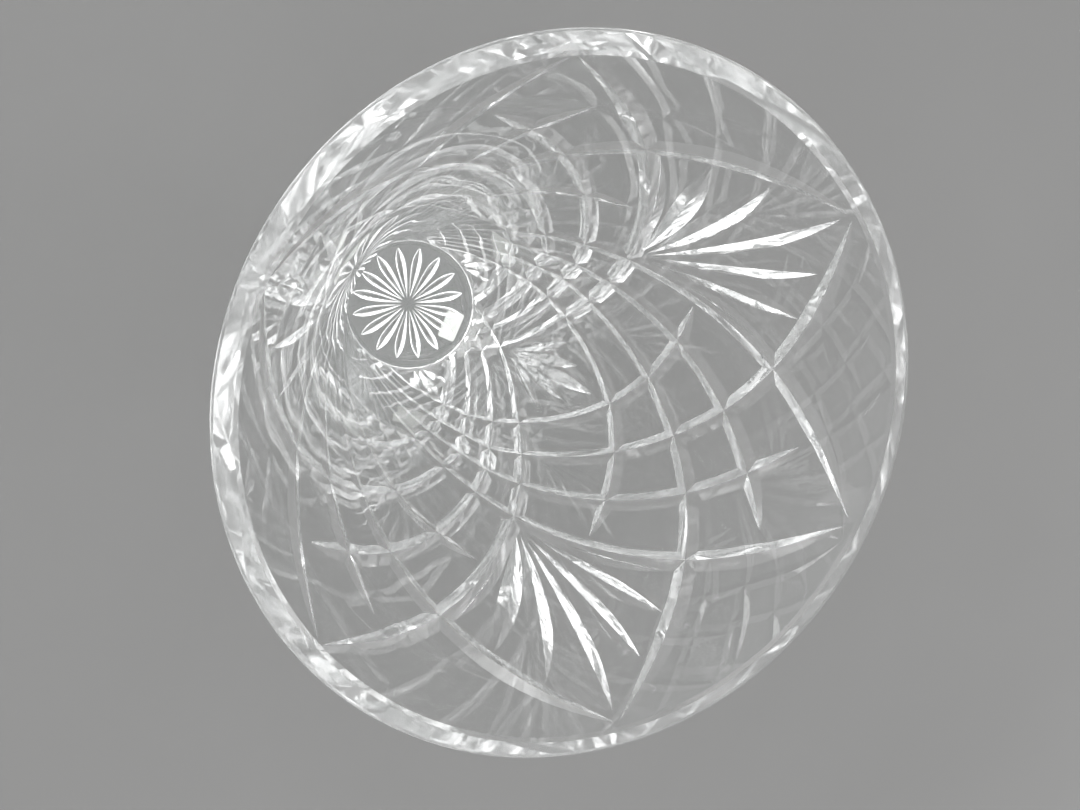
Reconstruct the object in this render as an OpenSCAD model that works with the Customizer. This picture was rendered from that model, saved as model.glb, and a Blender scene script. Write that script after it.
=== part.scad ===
// Deep flared cut-crystal vessel, blown and cut from one piece of clear glass.
// The wall flares from a small flat base to a wide ground rim.
// The underside is recessed inside a narrow foot ring that it stands on,
// and a small blank paper label is stuck in that recess.
// The solid is the blank that the decorative cuts are ground into: they are
// shallower than the wall and never reach past its surface.
// Origin: centre of the foot, on the surface it stands on. +Z is up.

/* [Overall] */
// Outside diameter across the rim
rim_d = 200; // [180:1:230]
// Overall height
height = 300; // [260:1:330]
// Outside diameter of the wall at the foot
foot_d = 87.4; // [84:0.2:96]

/* [Wall] */
// Width of the flat ground rim
rim_t = 6; // [5:0.5:8]
// Wall thickness over the upper half, measured level
wall_t = 7; // [6:0.5:8]
// Wall thickness just above the base, measured level
low_wall_t = 8.5; // [7:0.5:10]
// Height over which most of the flare happens
flare_len = 120; // [100:1:140]
// Taper of the lower wall, radius lost per millimetre of depth
taper = 0.0613; // [0.05:0.0001:0.07]
// Bevel on both edges of the rim
rim_bevel = 0.8; // [0.4:0.1:1.2]

/* [Base] */
// Glass thickness from the inside floor to the standing surface
base_t = 12; // [8:0.5:16]
// Radius of the fillet between the floor and the wall inside
floor_fillet = 3; // [1:0.5:5]
// Depth of the recess inside the foot ring
recess_h = 1; // [0.6:0.1:1.5]
// Width of the foot ring, from the flat of the recess to the outside
ring_w = 7.7; // [7:0.1:8.5]
// Rounding of the foot's outer edge
foot_round = 1.5; // [0.5:0.5:2]

/* [Label] */
// Label width, along the radius
label_w = 10.4; // [8:0.1:11]
// Label length
label_l = 17.4; // [12:0.1:18]
// Label thickness with its adhesive
label_t = 0.2; // [0.1:0.05:0.3]
// Distance of the label's centre in from the edge of the recess
label_in = 7.4; // [7.4:0.1:9]
// Sideways offset of the label's centre
label_y = -1.8; // [-2:0.1:2]

/* [Hidden] */
$fn = 128;
steps = 22;                       // bands up each face of the wall
fillet_steps = 4;
floor_z = base_t;
depth = height - floor_z;         // rim to inside floor
foot_r = foot_d / 2;
recess_r = foot_r - ring_w;
label_x = recess_r - label_in;
// Radius that the flare adds at the mouth, so that the wall meets the foot
flare_r = (rim_d / 2 - rim_t + low_wall_t - taper * height - foot_r) / (1 - exp(-height / flare_len));
// Inside radius at a depth h below the rim
function r_in(h) = rim_d / 2 - rim_t - flare_r * (1 - exp(-h / flare_len)) - taper * h;
// Level wall thickness at the same depth
function wall(h) =
    h < 25 ? rim_t + (wall_t - rim_t) * h / 25 :
    h < 150 ? wall_t :
    h < depth ? wall_t + (low_wall_t - wall_t) * (h - 150) / (depth - 150) : low_wall_t;
function r_out(h) = r_in(h) + wall(h);
floor_r = r_in(depth - floor_fillet);

// Half section of the glass, from the axis outward
function section() = concat(
    [[0, recess_h], [recess_r, recess_h], [recess_r + recess_h, 0], [foot_r - foot_round, 0]],
    [for (i = [1:fillet_steps]) let (a = 90 * i / fillet_steps)
        [foot_r - foot_round + foot_round * sin(a), foot_round - foot_round * cos(a)]],
    [for (i = [1:steps]) let (z = foot_round + (height - 2 - foot_round) * i / steps)
        [r_out(height - z), z]],
    [[rim_d / 2, height - rim_bevel], [rim_d / 2 - rim_bevel, height],
     [rim_d / 2 - rim_t + rim_bevel, height]],
    [for (i = [0:steps]) let (z = height - rim_bevel - (depth - rim_bevel - floor_fillet) * i / steps)
        [r_in(height - z), z]],
    [for (i = [1:fillet_steps]) let (a = 90 * i / fillet_steps)
        [floor_r - floor_fillet + floor_fillet * cos(a), floor_z + floor_fillet - floor_fillet * sin(a)]],
    [[0, floor_z]]);

module glass_body() {
    color([0.86, 0.91, 0.93, 0.5])
    rotate_extrude() polygon(section());
}

module base_label() {
    color([0.80, 0.80, 0.77])
    translate([label_x - label_w / 2, label_y - label_l / 2, recess_h - label_t])
        cube([label_w, label_l, label_t]);
}

glass_body();
base_label();
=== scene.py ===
import bpy, bmesh, math
import numpy as np
from mathutils import Matrix, Vector


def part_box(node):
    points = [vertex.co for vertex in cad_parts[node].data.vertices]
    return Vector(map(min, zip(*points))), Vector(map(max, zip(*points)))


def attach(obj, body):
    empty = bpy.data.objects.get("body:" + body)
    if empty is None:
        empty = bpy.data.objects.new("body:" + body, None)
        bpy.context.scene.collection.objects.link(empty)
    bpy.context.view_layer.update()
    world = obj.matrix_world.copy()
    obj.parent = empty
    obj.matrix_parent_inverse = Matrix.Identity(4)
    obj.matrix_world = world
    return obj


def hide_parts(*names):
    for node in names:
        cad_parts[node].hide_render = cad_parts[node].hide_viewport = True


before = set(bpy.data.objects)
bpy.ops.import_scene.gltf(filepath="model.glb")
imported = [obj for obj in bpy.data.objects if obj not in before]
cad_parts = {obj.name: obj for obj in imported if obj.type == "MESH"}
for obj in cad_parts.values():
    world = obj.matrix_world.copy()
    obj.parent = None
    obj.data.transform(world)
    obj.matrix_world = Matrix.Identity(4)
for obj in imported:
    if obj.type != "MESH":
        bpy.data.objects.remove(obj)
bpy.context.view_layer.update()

g_lo, g_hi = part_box("glass_body")
l_lo, l_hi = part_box("base_label")

# ---------------------------------------------------------------- sizes, in millimetres
MM = 0.001
R = (g_hi[0] - g_lo[0]) / 2 / MM          # outside radius of the rim
H = (g_hi[2] - g_lo[2]) / MM              # overall height
RIM_T, WALL_T, LOW_T = 6.0, 7.0, 8.5      # wall, as the construction has it
FOOT_R, FLARE_L, TAPER = 43.7, 120.0, 0.0613
FLARE = (R - RIM_T + LOW_T - TAPER * H - FOOT_R) / (1 - math.exp(-H / FLARE_L))
BASE_T, FILLET, RECESS, RECESS_R, FOOT_RND, BEVEL = 12.0, 3.0, 1.0, 36.0, 1.5, 0.8
DEPTH = H - BASE_T


def r_in(h):
    return R - RIM_T - FLARE * (1 - math.exp(-h / FLARE_L)) - TAPER * h


def wall(h):
    if h < 25:
        return RIM_T + (WALL_T - RIM_T) * h / 25
    if h < 150:
        return WALL_T
    return WALL_T + (LOW_T - WALL_T) * (min(h, DEPTH) - 150) / (DEPTH - 150)


def r_out(h):
    return r_in(h) + wall(h)


def outer(az, h):
    """Point and outward normal of the outside wall, azimuth in degrees, h below the rim."""
    r, s = r_out(h), (r_out(h + 0.5) - r_out(h - 0.5 if h > 0.5 else 0)) / (1.0 if h > 0.5 else h + 0.5)
    a = math.radians(az)
    n = Vector((math.cos(a), math.sin(a), s)).normalized()
    return Vector((r * math.cos(a), r * math.sin(a), H - h)), n


# ---------------------------------------------------------------- the blank
SEG = 288
G_OUT, G_IN, G_FLAT, G_FIL, G_FOOT, G_CUT, G_RIM = range(7)


def profile():
    """Half section from the axis under the base, round the outside, to the axis on the floor.
    Each entry is (r, z, group of the band that starts there)."""
    p = []
    foot_r = FOOT_R
    for r in (0.0, 6.0, 12.0, 18.0, 24.0, 30.0):
        p.append((r, RECESS, G_FLAT))
    p += [(RECESS_R, RECESS, G_FLAT), (RECESS_R + RECESS, 0.0, G_FLAT)]
    p.append((foot_r - FOOT_RND, 0.0, G_FOOT))
    for i in range(1, 7):
        a = math.radians(90 * i / 6)
        p.append((foot_r - FOOT_RND + FOOT_RND * math.sin(a), FOOT_RND - FOOT_RND * math.cos(a), G_FOOT if i < 6 else G_OUT))
    n = 96
    for i in range(1, n + 1):
        z = FOOT_RND + (H - 2 - FOOT_RND) * i / n
        p.append((r_out(H - z), z, G_OUT if i < n else G_RIM))
    p += [(R, H - BEVEL, G_RIM), (R - BEVEL, H, G_FLAT), (R - RIM_T + BEVEL, H, G_RIM)]
    n = 96
    for i in range(n + 1):
        z = H - BEVEL - (DEPTH - BEVEL - FILLET) * i / n
        p.append((r_in(H - z), z, G_IN if i < n else G_FIL))
    fr = r_in(DEPTH - FILLET)
    for i in range(1, 7):
        a = math.radians(90 * i / 6)
        p.append((fr - FILLET + FILLET * math.cos(a), BASE_T + FILLET - FILLET * math.sin(a), G_FIL if i < 6 else G_FLAT))
    for r in (24.0, 16.0, 8.0, 0.0):
        p.append((r, BASE_T, G_FLAT))
    return p


def revolve(name, prof, seg):
    bm = bmesh.new()
    rings = []
    for r, z, _ in prof:
        if r == 0:
            rings.append([bm.verts.new((0, 0, z * MM))])
        else:
            rings.append([bm.verts.new((r * math.cos(2 * math.pi * k / seg) * MM, r * math.sin(2 * math.pi * k / seg) * MM, z * MM)) for k in range(seg)])
    for i in range(len(prof) - 1):
        a, b, g = rings[i], rings[i + 1], prof[i][2]
        for k in range(seg):
            k2 = (k + 1) % seg
            if len(a) == 1:
                f = bm.faces.new((a[0], b[k2], b[k]))
            elif len(b) == 1:
                f = bm.faces.new((a[k], a[k2], b[0]))
            else:
                f = bm.faces.new((a[k], a[k2], b[k2], b[k]))
            f.material_index = g
    bmesh.ops.recalc_face_normals(bm, faces=bm.faces)
    me = bpy.data.meshes.new(name)
    bm.to_mesh(me)
    bm.free()
    ob = bpy.data.objects.new(name, me)
    bpy.context.scene.collection.objects.link(ob)
    return ob


# ---------------------------------------------------------------- V-groove cutters
def pchip(xs, ys):
    """Monotone cubic through the points, as a function."""
    xs, ys = np.array(xs, float), np.array(ys, float)
    if xs[0] > xs[-1]:
        xs, ys = xs[::-1], ys[::-1]
    d = np.diff(ys) / np.diff(xs)
    w = np.diff(xs)
    m = np.empty(len(xs))
    m[0], m[-1] = d[0], d[-1]
    for i in range(1, len(xs) - 1):
        if d[i - 1] * d[i] <= 0:
            m[i] = 0
        else:
            w1, w2 = 2 * w[i] + w[i - 1], w[i] + 2 * w[i - 1]
            m[i] = (w1 + w2) / (w1 / d[i - 1] + w2 / d[i])

    def f(x):
        i = int(np.clip(np.searchsorted(xs, x) - 1, 0, len(xs) - 2))
        t = (x - xs[i]) / w[i]
        return float(
            ys[i] * (1 + 2 * t) * (1 - t) ** 2 + m[i] * w[i] * t * (1 - t) ** 2
            + ys[i + 1] * t * t * (3 - 2 * t) + m[i + 1] * w[i] * t * t * (t - 1)
        )

    return f


def smooth(x):
    x = min(1.0, max(0.0, x))
    return x * x * (3 - 2 * x)


OVER = 1.0      # how far a cutter stands proud of the surface, mm


def groove(path, normals, depth, slope, inner=None, share=0.6):
    """A closed V-section bar along path: its edge lies depth below the surface.
    With inner, the middle share of the cut has that gentler slope, and depth is that of the whole cut."""
    cot = 1 / math.tan(math.radians(slope))
    verts, faces = [], []
    n = len(path)
    if inner is not None:
        to, ti = math.tan(math.radians(slope)), math.tan(math.radians(inner))
        for i in range(n):
            t = (path[min(i + 1, n - 1)] - path[max(i - 1, 0)]).normalized()
            nn = (normals[i] - t * normals[i].dot(t)).normalized()
            b = nn.cross(t)
            d = depth[i]
            hw = max(0.02, d) / ((1 - share) * to + share * ti)
            k = hw * share
            low = d - k * ti
            s = hw + (OVER if d > 0 else OVER + d) / to
            verts += [path[i] - nn * d, path[i] - nn * low + b * k, path[i] + nn * OVER + b * s,
                      path[i] + nn * OVER - b * s, path[i] - nn * low - b * k]
        for i in range(n - 1):
            a, c = 5 * i, 5 * i + 5
            for j in range(5):
                k = (j + 1) % 5
                faces.append((a + j, a + k, c + k, c + j))
        faces.append((4, 3, 2, 1, 0))
        faces.append((5 * n - 5, 5 * n - 4, 5 * n - 3, 5 * n - 2, 5 * n - 1))
        return verts, faces
    for i in range(n):
        t = (path[min(i + 1, n - 1)] - path[max(i - 1, 0)]).normalized()
        nn = (normals[i] - t * normals[i].dot(t)).normalized()
        b = nn.cross(t)
        d = depth[i]
        s = (d + OVER) * cot
        top = path[i] + nn * OVER
        verts += [path[i] - nn * d, top + b * s, top - b * s]
    for i in range(n - 1):
        a, c = 3 * i, 3 * i + 3
        for j in range(3):
            k = (j + 1) % 3
            faces.append((a + j, a + k, c + k, c + j))
    faces.append((0, 2, 1))
    faces.append((3 * n - 3, 3 * n - 2, 3 * n - 1))
    return verts, faces


def path_on_wall(points, step=2.0):
    """Evenly spaced points on the outside wall along a smooth line through (azimuth, h) points."""
    f = pchip([p[0] for p in points], [p[1] for p in points])
    a0, a1 = points[0][0], points[-1][0]
    az = np.linspace(a0, a1, 600)
    pos = [outer(a, f(a))[0] for a in az]
    s = np.concatenate([[0], np.cumsum([(pos[i + 1] - pos[i]).length for i in range(len(pos) - 1)])])
    n = max(6, int(s[-1] / step))
    even = np.interp(np.linspace(0, s[-1], n), s, az)
    pn = [outer(a, f(a)) for a in even]
    return [p for p, _ in pn], [q for _, q in pn], np.linspace(0, s[-1], n)


# crossings of the cut lines: azimuth from the nearest panel axis, and depth below the rim
def h_(x):
    return x * 100.0


LATTICE_END = 293.0
# one line from a panel tip, down and round to the foot, and the three beside it
LINE_A = [(0, 5.9), (26.89, 44.6), (60, 105.1), (69.36, 126.0), (78.40, 147.3), (88.3, 171.5), (120, 239.0), (129.4, 259), (146, LATTICE_END)]
LINE_B = [(0, 5.9), (33.11, 44.6), (47.12, 63.3), (60, 82.5), (75.29, 106.0), (101.6, 147.3), (112.56, 163.1), (120, 182.2), (129.22, 202.4), (172, LATTICE_END)]
LINE_C = [(-10.9, 30.3), (0, 44.9), (12.88, 63.3), (30.19, 90.2), (50.64, 126.0), (60, 144.3), (67.44, 163.1), (78.53, 186.6), (120, 276.0), (128, LATTICE_END)]
LINE_D = [(-42.5, 79.5), (-30.19, 90.2), (-15.29, 106.0), (0, 124.6), (31.7, 171.6), (41.47, 186.6), (50.78, 202.4), (60, 222.9), (92, LATTICE_END)]

cuts = []


def add_line(points, base, sign, depth0, lead, tail, slope):
    pts = [(base + sign * a, h) for a, h in points]
    path, nor, s = path_on_wall(pts)
    total = s[-1]
    dep = [-0.25 + (depth0 + 0.25) * min(1.0, (x / lead) ** 0.7 if x < lead else 1.0) * min(1.0, ((total - x) / tail) ** 0.8 if total - x < tail else 1.0) for x in s]
    cuts.append(groove(path, nor, dep, slope))


SLOPE_LINE, DEPTH_LINE = 28.5, 2.3
for k in range(3):
    for sg in (1, -1):
        add_line(LINE_A, 120 * k, sg, DEPTH_LINE, 38, 6, SLOPE_LINE)
        add_line(LINE_B, 60 + 120 * k, sg, DEPTH_LINE, 38, 6, SLOPE_LINE)
        add_line(LINE_C, 120 * k, sg, DEPTH_LINE, 22, 6, SLOPE_LINE)
        add_line(LINE_D, 120 * k, sg, DEPTH_LINE, 18, 6, SLOPE_LINE)


def add_blade(base, sg, a_tip, h_tip, a_root, h_root, peak, depth0, slope, bow=0.0):
    """A leaf-shaped cut from its root at the foot of a fan up to its tip."""
    n = 46
    path, nor, dep = [], [], []
    for i in range(n):
        t = i / (n - 1)
        # the leaf leaves the root at a narrow angle and opens towards its tip
        a = a_root + (a_tip - a_root) * (t + bow * t * (1 - t))
        h = h_root + (h_tip - h_root) * t
        p, q = outer(base + sg * a, h)
        path.append(p)
        nor.append(q)
        u = t / peak if t < peak else (1 - t) / (1 - peak)
        dep.append(-0.2 + (depth0 + 0.2) * (math.sin(u * math.pi / 2) ** (1.25 if t < peak else 0.85)))
    cuts.append(groove(path, nor, dep, slope))


FAN = [(0.0, 9.0, 0.0, 96.0, 0.68, 2.5), (10.7, 23.2, 0.55, 97.0, 0.66, 2.4), (20.9, 33.8, 1.1, 98.5, 0.62, 2.25), (28.8, 45.5, 1.7, 100.0, 0.58, 1.5)]
for k in range(3):
    for sg in (1, -1):
        for a, h, ar, hr, pk, d in FAN:
            if a == 0 and sg < 0:
                continue
            add_blade(60 + 120 * k, sg, a, h, ar, hr, pk, d, 27.0, bow=-0.12)
# the lower fan, upside down between the lattice bands
LOW = [(0.0, 139.0, 0.0, 231.0, 0.62, 2.3), (9.0, 158.0, 0.6, 232.0, 0.6, 2.1), (18.5, 171.0, 1.3, 233.0, 0.58, 1.8)]
for k in range(3):
    for sg in (1, -1):
        for a, h, ar, hr, pk, d in LOW:
            if a == 0 and sg < 0:
                continue
            add_blade(120 * k, sg, a, h, ar, hr, pk, d, 32.0, bow=-0.12)
LOW2 = [(0.0, 238.0, 0.0, 290.0, 0.6, 2.4), (13.0, 251.0, 3.5, 291.0, 0.58, 2.1)]
for k in range(3):
    for sg in (1, -1):
        for a, h, ar, hr, pk, d in LOW2:
            if a == 0 and sg < 0:
                continue
            add_blade(60 + 120 * k, sg, a, h, ar, hr, pk, d, 32.0)

# the star under the base: sixteen leaves
STAR_N, STAR_PHASE = 16, 0.5
for k in range(STAR_N):
    a = 2 * math.pi * (k + STAR_PHASE) / STAR_N
    n = 30
    path, nor, dep = [], [], []
    for i in range(n):
        t = i / (n - 1)
        r = 2.4 + (32.8 - 2.4) * t
        path.append(Vector((r * math.cos(a), r * math.sin(a), RECESS)))
        nor.append(Vector((0, 0, -1)))
        pk = 0.70
        u = t / pk if t < pk else (1 - t) / (1 - pk)
        dep.append(-0.15 + 2.45 * (math.sin(u * math.pi / 2) ** (1.15 if t < pk else 0.75)))
    cuts.append(groove(path, nor, dep, 50.0, inner=31.0))


def boolean(target, operand, op):
    m = target.modifiers.new("cut", "BOOLEAN")
    m.operation = op
    m.solver = "MANIFOLD"
    m.object = operand
    dg = bpy.context.evaluated_depsgraph_get()
    me = bpy.data.meshes.new_from_object(target.evaluated_get(dg), preserve_all_data_layers=True, depsgraph=dg)
    target.modifiers.clear()
    old = target.data
    target.data = me
    bpy.data.meshes.remove(old)


def mesh_object(name, verts, faces, mat_index):
    me = bpy.data.meshes.new(name)
    me.from_pydata([tuple(v * MM) for v in verts], [], faces)
    bm = bmesh.new()
    bm.from_mesh(me)
    bmesh.ops.triangulate(bm, faces=bm.faces)
    bmesh.ops.recalc_face_normals(bm, faces=bm.faces)
    for f in bm.faces:
        f.material_index = mat_index
    bm.to_mesh(me)
    bm.free()
    ob = bpy.data.objects.new(name, me)
    bpy.context.scene.collection.objects.link(ob)
    return ob


# ---------------------------------------------------------------- slow ripple of hand-worked glass
def fade(h, a, b, c):
    t = np.clip((h - a) / (b - a), 0, 1)
    return t * t * (3 - 2 * t) * np.clip((c - h) / 14.0, 0, 1)


def ripple_out(az, h):
    return (0.026 * np.sin(5 * az + 0.045 * h + 0.7) * np.sin(0.085 * h + 2 * az)
            + 0.010 * np.sin(11 * az - 0.11 * h + 2.1) * np.sin(0.16 * h - 3 * az + 0.4)
            - 0.036) * fade(h, 3.0, 22.0, H - 6)


def ripple_in(az, h):
    return (0.06 * np.sin(4 * az - 0.05 * h + 1.9) * np.sin(0.075 * h + 3 * az + 1.1)
            + 0.02 * np.sin(9 * az + 0.12 * h) * np.sin(0.19 * h - 2 * az + 2.6)) * fade(h, 3.0, 22.0, DEPTH - 12)


V_IN = np.vectorize(r_in)
V_OUT = np.vectorize(r_out)


def radius(side, az, h):
    return V_OUT(h) + ripple_out(az, h) if side == "out" else V_IN(h) + ripple_in(az, h)


def wall_normals(side, az, h):
    """Normals of the rippled wall at these angles and depths, pointing out of the glass."""
    e = 0.05
    hi, lo = np.clip(h + e, 0, H), np.clip(h - e, 0, H)
    r = radius(side, az, h)
    dh = (radius(side, az, hi) - radius(side, az, lo)) / (hi - lo)
    da = (radius(side, az + 1e-3, h) - radius(side, az - 1e-3, h)) / 2e-3
    c, s = np.cos(az), np.sin(az)
    ta = np.stack([da * c - r * s, da * s + r * c, 0 * r], 1)
    th = np.stack([dh * c, dh * s, -np.ones_like(r)], 1)
    n = np.cross(th, ta)
    n /= np.linalg.norm(n, axis=1)[:, None]
    out = np.stack([c, s, 0 * c], 1)
    n *= np.sign((n * out).sum(1))[:, None]
    return n if side == "out" else -n


# ---------------------------------------------------------------- the glass, cut
glass = revolve("crystal_vessel", profile(), SEG)
me = glass.data
co = np.empty(len(me.vertices) * 3)
me.vertices.foreach_get("co", co)
co = co.reshape(-1, 3) / MM
group = np.zeros((len(co), 7), bool)
for f in me.polygons:
    for v in f.vertices:
        group[v, f.material_index] = True
az = np.arctan2(co[:, 1], co[:, 0])
rr = np.hypot(co[:, 0], co[:, 1])
hh = H - co[:, 2]
for g, fn in ((G_OUT, ripple_out), (G_IN, ripple_in)):
    m = group[:, g]
    d = fn(az[m], hh[m])
    co[m, 0] = (rr[m] + d) * np.cos(az[m])
    co[m, 1] = (rr[m] + d) * np.sin(az[m])
me.vertices.foreach_set("co", (co * MM).ravel())
for i in range(7):
    me.materials.append(None)

bag = bpy.data.collections.new("cutters")
bpy.context.scene.collection.children.link(bag)
tools = []
for i, (v, f) in enumerate(cuts):
    ob = mesh_object("cutter_%03d" % i, v, f, G_CUT)
    for _ in range(7):
        ob.data.materials.append(None)
    for p in ob.data.polygons:
        p.material_index = G_CUT
    bpy.context.scene.collection.objects.unlink(ob)
    bag.objects.link(ob)
    tools.append(ob)

m = glass.modifiers.new("cut", "BOOLEAN")
m.operation = "DIFFERENCE"
m.solver = "MANIFOLD"
m.operand_type = "COLLECTION"
m.collection = bag
dg = bpy.context.evaluated_depsgraph_get()
new = bpy.data.meshes.new_from_object(glass.evaluated_get(dg), preserve_all_data_layers=True, depsgraph=dg)
glass.modifiers.clear()
glass.data = new
bpy.data.meshes.remove(me)
for ob in tools:
    d = ob.data
    bpy.data.objects.remove(ob)
    bpy.data.meshes.remove(d)
bpy.data.collections.remove(bag)
me = glass.data
me.name = "crystal_vessel"

# normals: exact on the walls, smooth along each cut and sharp at its edges
kind = np.empty(len(me.polygons), np.int32)
me.polygons.foreach_get("material_index", kind)
me.polygons.foreach_set("use_smooth", np.ones(len(me.polygons), bool))
bm = bmesh.new()
bm.from_mesh(me)
bm.edges.ensure_lookup_table()
for e in bm.edges:
    a, b = e.link_faces[0], e.link_faces[1]
    e.smooth = not ((a.material_index == G_CUT) != (b.material_index == G_CUT) or a.normal.angle(b.normal, 0) > math.radians(22))
bm.to_mesh(me)
bm.free()
me.update()
nl = len(me.loops)
nor = np.empty(nl * 3, np.float32)
me.corner_normals.foreach_get("vector", nor)
nor = nor.reshape(-1, 3).astype(float)
vi = np.empty(nl, np.int32)
me.loops.foreach_get("vertex_index", vi)
co = np.empty(len(me.vertices) * 3)
me.vertices.foreach_get("co", co)
p = co.reshape(-1, 3)[vi] / MM
tot = np.empty(len(me.polygons), np.int32)
me.polygons.foreach_get("loop_total", tot)
lk = np.repeat(kind, tot)
for g, side in ((G_OUT, "out"), (G_IN, "in")):
    m = lk == g
    nor[m] = wall_normals(side, np.arctan2(p[m, 1], p[m, 0]), H - p[m, 2])
m = lk == G_FLAT
nor[m] = np.stack([np.zeros(m.sum()), np.zeros(m.sum()), np.where(p[m, 2] > 5, 1.0, -1.0)], 1)
slope = (lk == G_FLAT) & (np.hypot(p[:, 0], p[:, 1]) > RECESS_R - 0.01) & (p[:, 2] < 5)
nor[slope] = np.array([0, 0, -1.0])
me.normals_split_custom_set([tuple(x) for x in nor])

# ---------------------------------------------------------------- materials
def new_material(name):
    mat = bpy.data.materials.new(name)
    mat.use_nodes = True
    nt = mat.node_tree
    nt.nodes.clear()
    return mat, nt, nt.nodes.new, nt.links.new


def crystal(name, rough_lo, rough_hi, bump_mm, scale_mm, stretch=1.0):
    mat, nt, node, link = new_material(name)
    out = node("ShaderNodeOutputMaterial")
    bsdf = node("ShaderNodeBsdfPrincipled")
    bsdf.inputs["Base Color"].default_value = (0.985, 0.992, 0.990, 1)
    bsdf.inputs["IOR"].default_value = 1.54
    bsdf.inputs["Transmission Weight"].default_value = 1.0
    co_ = node("ShaderNodeTexCoord")
    mp = node("ShaderNodeMapping")
    mp.inputs["Scale"].default_value = (1, 1, stretch)
    link(co_.outputs["Object"], mp.inputs["Vector"])
    n1 = node("ShaderNodeTexNoise")
    n1.inputs["Scale"].default_value = 1000.0 / scale_mm
    n1.inputs["Detail"].default_value = 3.0
    link(mp.outputs["Vector"], n1.inputs["Vector"])
    n2 = node("ShaderNodeTexNoise")
    n2.inputs["Scale"].default_value = 70.0
    n2.inputs["Detail"].default_value = 4.0
    link(mp.outputs["Vector"], n2.inputs["Vector"])
    ramp = node("ShaderNodeMapRange")
    ramp.inputs["From Min"].default_value = 0.35
    ramp.inputs["From Max"].default_value = 0.65
    ramp.inputs["To Min"].default_value = rough_lo
    ramp.inputs["To Max"].default_value = rough_hi
    link(n2.outputs["Fac"], ramp.inputs["Value"])
    link(ramp.outputs["Result"], bsdf.inputs["Roughness"])
    bump = node("ShaderNodeBump")
    bump.inputs["Strength"].default_value = 1.0
    bump.inputs["Distance"].default_value = bump_mm * MM
    link(n1.outputs["Fac"], bump.inputs["Height"])
    link(bump.outputs["Normal"], bsdf.inputs["Normal"])
    # light from the lamps passes through the glass, slightly dimmed, in place of a black shadow
    path = node("ShaderNodeLightPath")
    clear = node("ShaderNodeBsdfTransparent")
    clear.inputs["Color"].default_value = (0.86, 0.875, 0.87, 1)
    mix = node("ShaderNodeMixShader")
    link(path.outputs["Is Shadow Ray"], mix.inputs["Fac"])
    link(bsdf.outputs["BSDF"], mix.inputs[1])
    link(clear.outputs["BSDF"], mix.inputs[2])
    link(mix.outputs["Shader"], out.inputs["Surface"])
    return mat


polished = crystal("crystal_polished", 0.0, 0.006, 0.004, 12.0)
ground = crystal("crystal_cut", 0.03, 0.09, 0.006, 1.2)
rim_mat = crystal("crystal_rim", 0.06, 0.15, 0.010, 7.0)
me.materials.clear()
for mt in (polished, ground, rim_mat):
    me.materials.append(mt)
out_kind = np.where(kind == G_CUT, 1, 0).astype(np.int32)
cz = np.empty(len(me.polygons) * 3)
me.polygons.foreach_get("center", cz)
cz = cz.reshape(-1, 3) / MM
out_kind[(cz[:, 2] > H - 2.05) & (kind != G_CUT)] = 2
me.polygons.foreach_set("material_index", out_kind)
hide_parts("glass_body")
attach(glass, "root")

# ---------------------------------------------------------------- the paper label under the base
lx0, ly0, lz0 = [v / MM for v in l_lo]
lx1, ly1, lz1 = [v / MM for v in l_hi]
bm = bmesh.new()
CR, NX, NY = 1.3, 16, 26
top, low = {}, {}
for i in range(NX + 1):
    for j in range(NY + 1):
        u, v = i / NX * 2 - 1, j / NY * 2 - 1
        hw, hl = (lx1 - lx0) / 2, (ly1 - ly0) / 2
        x, y = u * hw, v * hl
        # round the corners by drawing the grid in towards them
        ax, ay = abs(x) - (hw - CR), abs(y) - (hl - CR)
        if ax > 0 and ay > 0:
            d = math.hypot(ax, ay)
            k = max(ax, ay) / d
            x = math.copysign(hw - CR + ax * k, x)
            y = math.copysign(hl - CR + ay * k, y)
        x += (lx0 + lx1) / 2
        y += (ly0 + ly1) / 2
        lift = 0.02 * math.sin(1.1 * x + 0.5 * y) * math.sin(0.7 * y - 0.3)
        zt = lz1 - 0.035 + min(0.0, lift - 0.02)
        top[i, j] = bm.verts.new((x * MM, y * MM, zt * MM))
        low[i, j] = bm.verts.new((x * MM, y * MM, (zt - 0.12) * MM))
for i in range(NX):
    for j in range(NY):
        bm.faces.new((top[i, j], top[i + 1, j], top[i + 1, j + 1], top[i, j + 1]))
        bm.faces.new((low[i, j], low[i, j + 1], low[i + 1, j + 1], low[i + 1, j]))
edge = [(i, 0) for i in range(NX)] + [(NX, j) for j in range(NY)] + [(i, NY) for i in range(NX, 0, -1)] + [(0, j) for j in range(NY, 0, -1)]
for a, b in zip(edge, edge[1:] + edge[:1]):
    bm.faces.new((top[a], low[a], low[b], top[b]))
bmesh.ops.recalc_face_normals(bm, faces=bm.faces)
lme = bpy.data.meshes.new("paper_label")
bm.to_mesh(lme)
bm.free()
label = bpy.data.objects.new("paper_label", lme)
bpy.context.scene.collection.objects.link(label)
mat, nt, node, link = new_material("label_paper")
out = node("ShaderNodeOutputMaterial")
bsdf = node("ShaderNodeBsdfPrincipled")
tc = node("ShaderNodeTexCoord")
fib = node("ShaderNodeTexNoise")
fib.inputs["Scale"].default_value = 1800
fib.inputs["Detail"].default_value = 6
fib.inputs["Distortion"].default_value = 0.6
blot = node("ShaderNodeTexNoise")
blot.inputs["Scale"].default_value = 160
blot.inputs["Detail"].default_value = 3
ramp = node("ShaderNodeValToRGB")
ramp.color_ramp.elements[0].position = 0.3
ramp.color_ramp.elements[0].color = (0.60, 0.595, 0.575, 1)
ramp.color_ramp.elements[1].position = 0.7
ramp.color_ramp.elements[1].color = (0.76, 0.755, 0.74, 1)
mixn = node("ShaderNodeMix")
mixn.data_type = "FLOAT"
mixn.inputs["Factor"].default_value = 0.5
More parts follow.
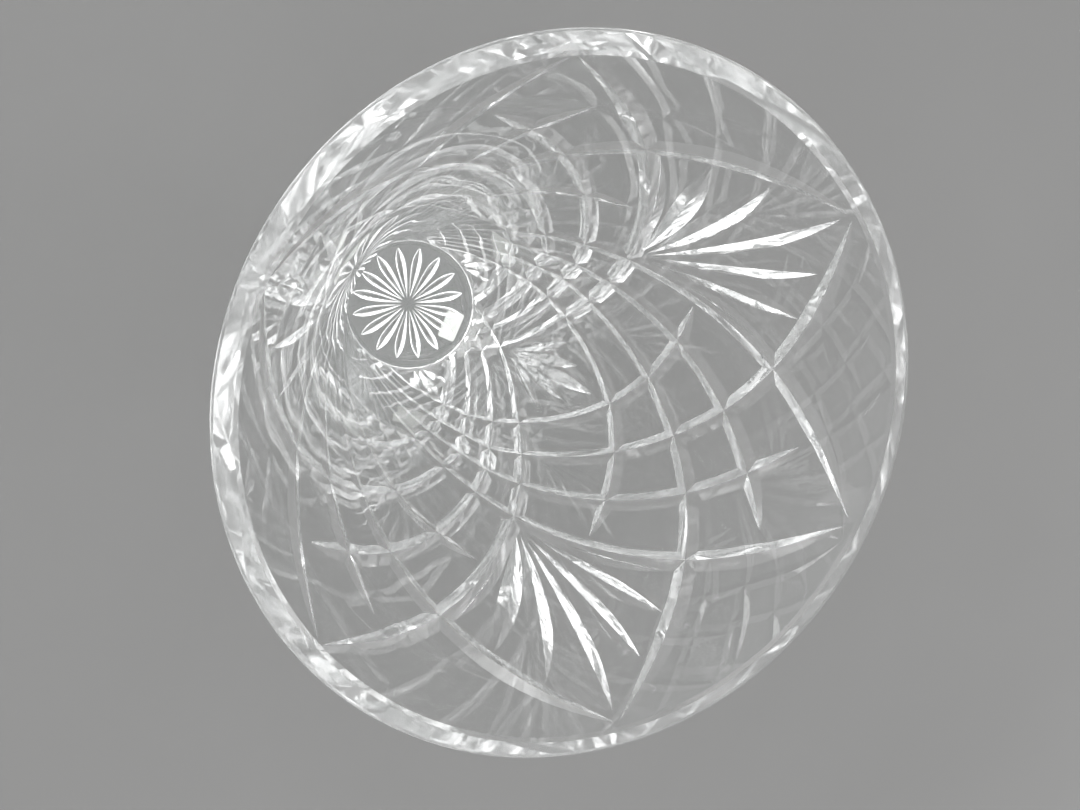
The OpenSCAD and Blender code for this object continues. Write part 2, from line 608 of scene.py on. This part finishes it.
link(tc.outputs["Object"], fib.inputs["Vector"])
link(tc.outputs["Object"], blot.inputs["Vector"])
link(fib.outputs["Fac"], mixn.inputs["A"])
link(blot.outputs["Fac"], mixn.inputs["B"])
link(mixn.outputs["Result"], ramp.inputs["Fac"])
link(ramp.outputs["Color"], bsdf.inputs["Base Color"])
rr_ = node("ShaderNodeMapRange")
rr_.inputs["To Min"].default_value = 0.55
rr_.inputs["To Max"].default_value = 0.85
link(fib.outputs["Fac"], rr_.inputs["Value"])
link(rr_.outputs["Result"], bsdf.inputs["Roughness"])
bp = node("ShaderNodeBump")
bp.inputs["Distance"].default_value = 0.00002
link(fib.outputs["Fac"], bp.inputs["Height"])
link(bp.outputs["Normal"], bsdf.inputs["Normal"])
link(bsdf.outputs["BSDF"], out.inputs["Surface"])
lme.materials.append(mat)
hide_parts("base_label")
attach(label, "root")
# the CAD nodes are hidden, and carry the same finishes
for nname, mt in (("glass_body", polished), ("base_label", mat)):
    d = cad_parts[nname].data
    if len(d.materials):
        for i in range(len(d.materials)):
            d.materials[i] = mt
    else:
        d.materials.append(mt)

# ---------------------------------------------------------------- floor, light and camera
bm = bmesh.new()
FR = 9.0
ringv = [bm.verts.new((0, 0, 0))]
prev = None
for r in (0.25, 0.6, 1.2, 3.0, FR):
    ring = [bm.verts.new((r * math.cos(2 * math.pi * k / 96), r * math.sin(2 * math.pi * k / 96), 0)) for k in range(96)]
    for k in range(96):
        if prev is None:
            bm.faces.new((ringv[0], ring[k], ring[(k + 1) % 96]))
        else:
            bm.faces.new((prev[k], ring[k], ring[(k + 1) % 96], prev[(k + 1) % 96]))
    prev = ring
fme = bpy.data.meshes.new("floor")
bm.to_mesh(fme)
bm.free()
floor = bpy.data.objects.new("floor", fme)
bpy.context.scene.collection.objects.link(floor)
floor.location.z = -0.0002
mat, nt, node, link = new_material("studio_floor")
out = node("ShaderNodeOutputMaterial")
bsdf = node("ShaderNodeBsdfPrincipled")
bsdf.inputs["Roughness"].default_value = 0.75
bsdf.inputs["Specular IOR Level"].default_value = 0.25
tc = node("ShaderNodeTexCoord")
no = node("ShaderNodeTexNoise")
no.inputs["Scale"].default_value = 6
no.inputs["Detail"].default_value = 2
ramp = node("ShaderNodeValToRGB")
ramp.color_ramp.elements[0].color = (0.140, 0.140, 0.1385, 1)
ramp.color_ramp.elements[1].color = (0.150, 0.150, 0.1485, 1)
# painted shade and painted light on the flat floor: its colour is dark near the object and runs up to white well
# behind it, standing in for a lit paper sweep
ln = node("ShaderNodeVectorMath")
ln.operation = "LENGTH"
painted_shade_falloff = node("ShaderNodeMapRange")
painted_shade_falloff.interpolation_type = "SMOOTHSTEP"
painted_shade_falloff.inputs["From Min"].default_value = 0.5
painted_shade_falloff.inputs["From Max"].default_value = 3.0
painted_floor_shading = node("ShaderNodeMix")
painted_floor_shading.data_type = "RGBA"
# the pale far colour of the painted floor shading
painted_floor_shading.inputs[7].default_value = (0.6, 0.6, 0.6, 1)
link(tc.outputs["Object"], no.inputs["Vector"])
link(no.outputs["Fac"], ramp.inputs["Fac"])
link(tc.outputs["Object"], ln.inputs[0])
link(ln.outputs["Value"], painted_shade_falloff.inputs["Value"])
link(painted_shade_falloff.outputs["Result"], painted_floor_shading.inputs["Factor"])
link(ramp.outputs["Color"], painted_floor_shading.inputs[6])
link(painted_floor_shading.outputs[2], bsdf.inputs["Base Color"])
link(bsdf.outputs["BSDF"], out.inputs["Surface"])
fme.materials.append(mat)

world = bpy.data.worlds.new("studio")
bpy.context.scene.world = world
world.use_nodes = True
nt = world.node_tree
nt.nodes.clear()
node, link = nt.nodes.new, nt.links.new
wo = node("ShaderNodeOutputWorld")
bg = node("ShaderNodeBackground")
tc = node("ShaderNodeTexCoord")
sep = node("ShaderNodeSeparateXYZ")
ramp = node("ShaderNodeValToRGB")
ramp.color_ramp.elements[0].position = 0.0
ramp.color_ramp.elements[0].color = (0.80, 0.80, 0.805, 1)
ramp.color_ramp.elements[1].position = 0.35
ramp.color_ramp.elements[1].color = (1.0, 1.0, 1.0, 1)
link(tc.outputs["Generated"], sep.inputs["Vector"])
link(sep.outputs["Z"], ramp.inputs["Fac"])
link(ramp.outputs["Color"], bg.inputs["Color"])
bg.inputs["Strength"].default_value = 1.5
link(bg.outputs["Background"], wo.inputs["Surface"])


def softbox(name, loc, aim, w, h, watts, colour=(1, 1, 1)):
    L = bpy.data.lights.new(name, "AREA")
    L.shape = "RECTANGLE"
    L.size, L.size_y = w, h
    L.energy = watts
    L.color = colour
    ob = bpy.data.objects.new(name, L)
    bpy.context.scene.collection.objects.link(ob)
    ob.location = loc
    ob.rotation_euler = (Vector(aim) - Vector(loc)).to_track_quat("-Z", "Y").to_euler()
    ob.visible_camera = False
    return ob


for i, (a, r, z, w, h, radiance) in enumerate((
    (20, 1.25, 0.75, 0.25, 1.2, 3.5),
    (160, 1.15, 0.85, 0.35, 1.2, 4.0),
    (285, 1.2, 0.8, 0.25, 1.3, 3.5),
)):
    t = math.radians(a)
    softbox("side_%d" % i, (r * math.cos(t), r * math.sin(t), z), (0, 0, 0.15), w, h, radiance * math.pi * w * h)
softbox("top", (-0.55, 0.45, 1.55), (0, 0, 0.1), 0.9, 0.6, 1.6 * math.pi * 0.54)
for i, (a, r, z) in enumerate(((130, 0.9, 1.2), (335, 1.0, 1.1), (255, 1.1, 0.5))):
    t = math.radians(a)
    softbox("spark_%d" % i, (r * math.cos(t), r * math.sin(t), z), (0, 0, 0.2), 0.07, 0.07, 60 * math.pi * 0.0049)

cam_data = bpy.data.cameras.new("camera")
cam = bpy.data.objects.new("camera", cam_data)
bpy.context.scene.collection.objects.link(cam)
cam_data.sensor_fit = "HORIZONTAL"
cam_data.sensor_width = 36.0
cam_data.lens = 29.1667
cam_data.clip_start = 0.01
cam.matrix_world = Matrix((
    (0.857312, -0.348407, -0.378985, -0.106474),
    (0.403842, 0.911717, 0.075385, 0.015529),
    (0.319262, -0.217679, 0.922327, 0.510945),
    (0, 0, 0, 1),
))
bpy.context.scene.camera = cam
bpy.context.scene.view_settings.view_transform = "Standard"
cyc = bpy.context.scene.cycles
cyc.max_bounces = 40
cyc.transmission_bounces = 40
cyc.glossy_bounces = 40
cyc.transparent_max_bounces = 40

bpy.context.view_layer.update()
